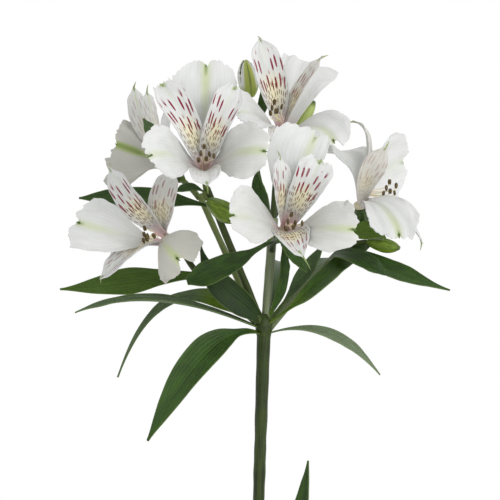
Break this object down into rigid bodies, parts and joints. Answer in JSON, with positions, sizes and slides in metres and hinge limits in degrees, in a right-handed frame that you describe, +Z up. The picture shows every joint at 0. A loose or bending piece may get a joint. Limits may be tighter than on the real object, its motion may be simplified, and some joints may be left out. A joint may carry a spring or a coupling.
{
  "type": "potted peruvian lily",
  "caption": "White peruvian lily in a plain clay pot: an upright leafy stem with a whorl of narrow leaves and an umbel of open, striped blooms and green buds.",
  "frame": {"origin": "centre of the pot's underside, where it stands", "axes": "+Z up along the stem, +X to the picture's right, -Y towards the camera"},
  "size_m": [0.1942, 0.1581, 0.4132],
  "materials": {
    "clay": "matte",
    "soil": "matte",
    "stem": "satin",
    "leaf": "satin",
    "petal": "matte",
    "stamen": "matte",
    "bud": "satin"
  },
  "bodies": {
    "root": {"pot": "clay", "soil": "soil", "stem": "stem", "bloom_front_left": "petal", "stamens_front_left": "stamen", "bloom_front_right": "petal", "stamens_front_right": "stamen", "bloom_top": "petal", "stamens_top": "stamen", "bloom_far_right": "petal", "stamens_far_right": "stamen", "bloom_far_left": "petal", "stamens_far_left": "stamen", "bloom_back_left": "petal", "stamens_back_left": "stamen", "bud_top": "bud", "bud_behind_top": "bud", "bud_left": "bud", "bud_right": "bud", "leaf_hanging": "leaf", "leaf_low_left": "leaf", "leaf_drooping": "leaf", "leaf_bright_left": "leaf", "leaf_curled": "leaf", "leaf_upright_left": "leaf", "leaf_behind_left": "leaf", "leaf_small_left": "leaf", "leaf_slender_right": "leaf", "leaf_broad_right": "leaf", "leaf_far_right": "leaf", "leaf_right_front": "leaf", "leaf_arching_right": "leaf", "leaf_upright_middle": "leaf", "leaf_under_right": "leaf", "leaf_back_high": "leaf", "leaf_back_right": "leaf", "leaf_back_left": "leaf", "leaf_under_front": "leaf", "leaf_between": "leaf", "leaf_back_bloom": "leaf", "leaf_top_small": "leaf", "leaf_stem_tip": "leaf", "leaf_stem_left": "leaf", "leaf_stem_back": "leaf", "leaf_stem_front": "leaf"}
  },
  "joints": []
}
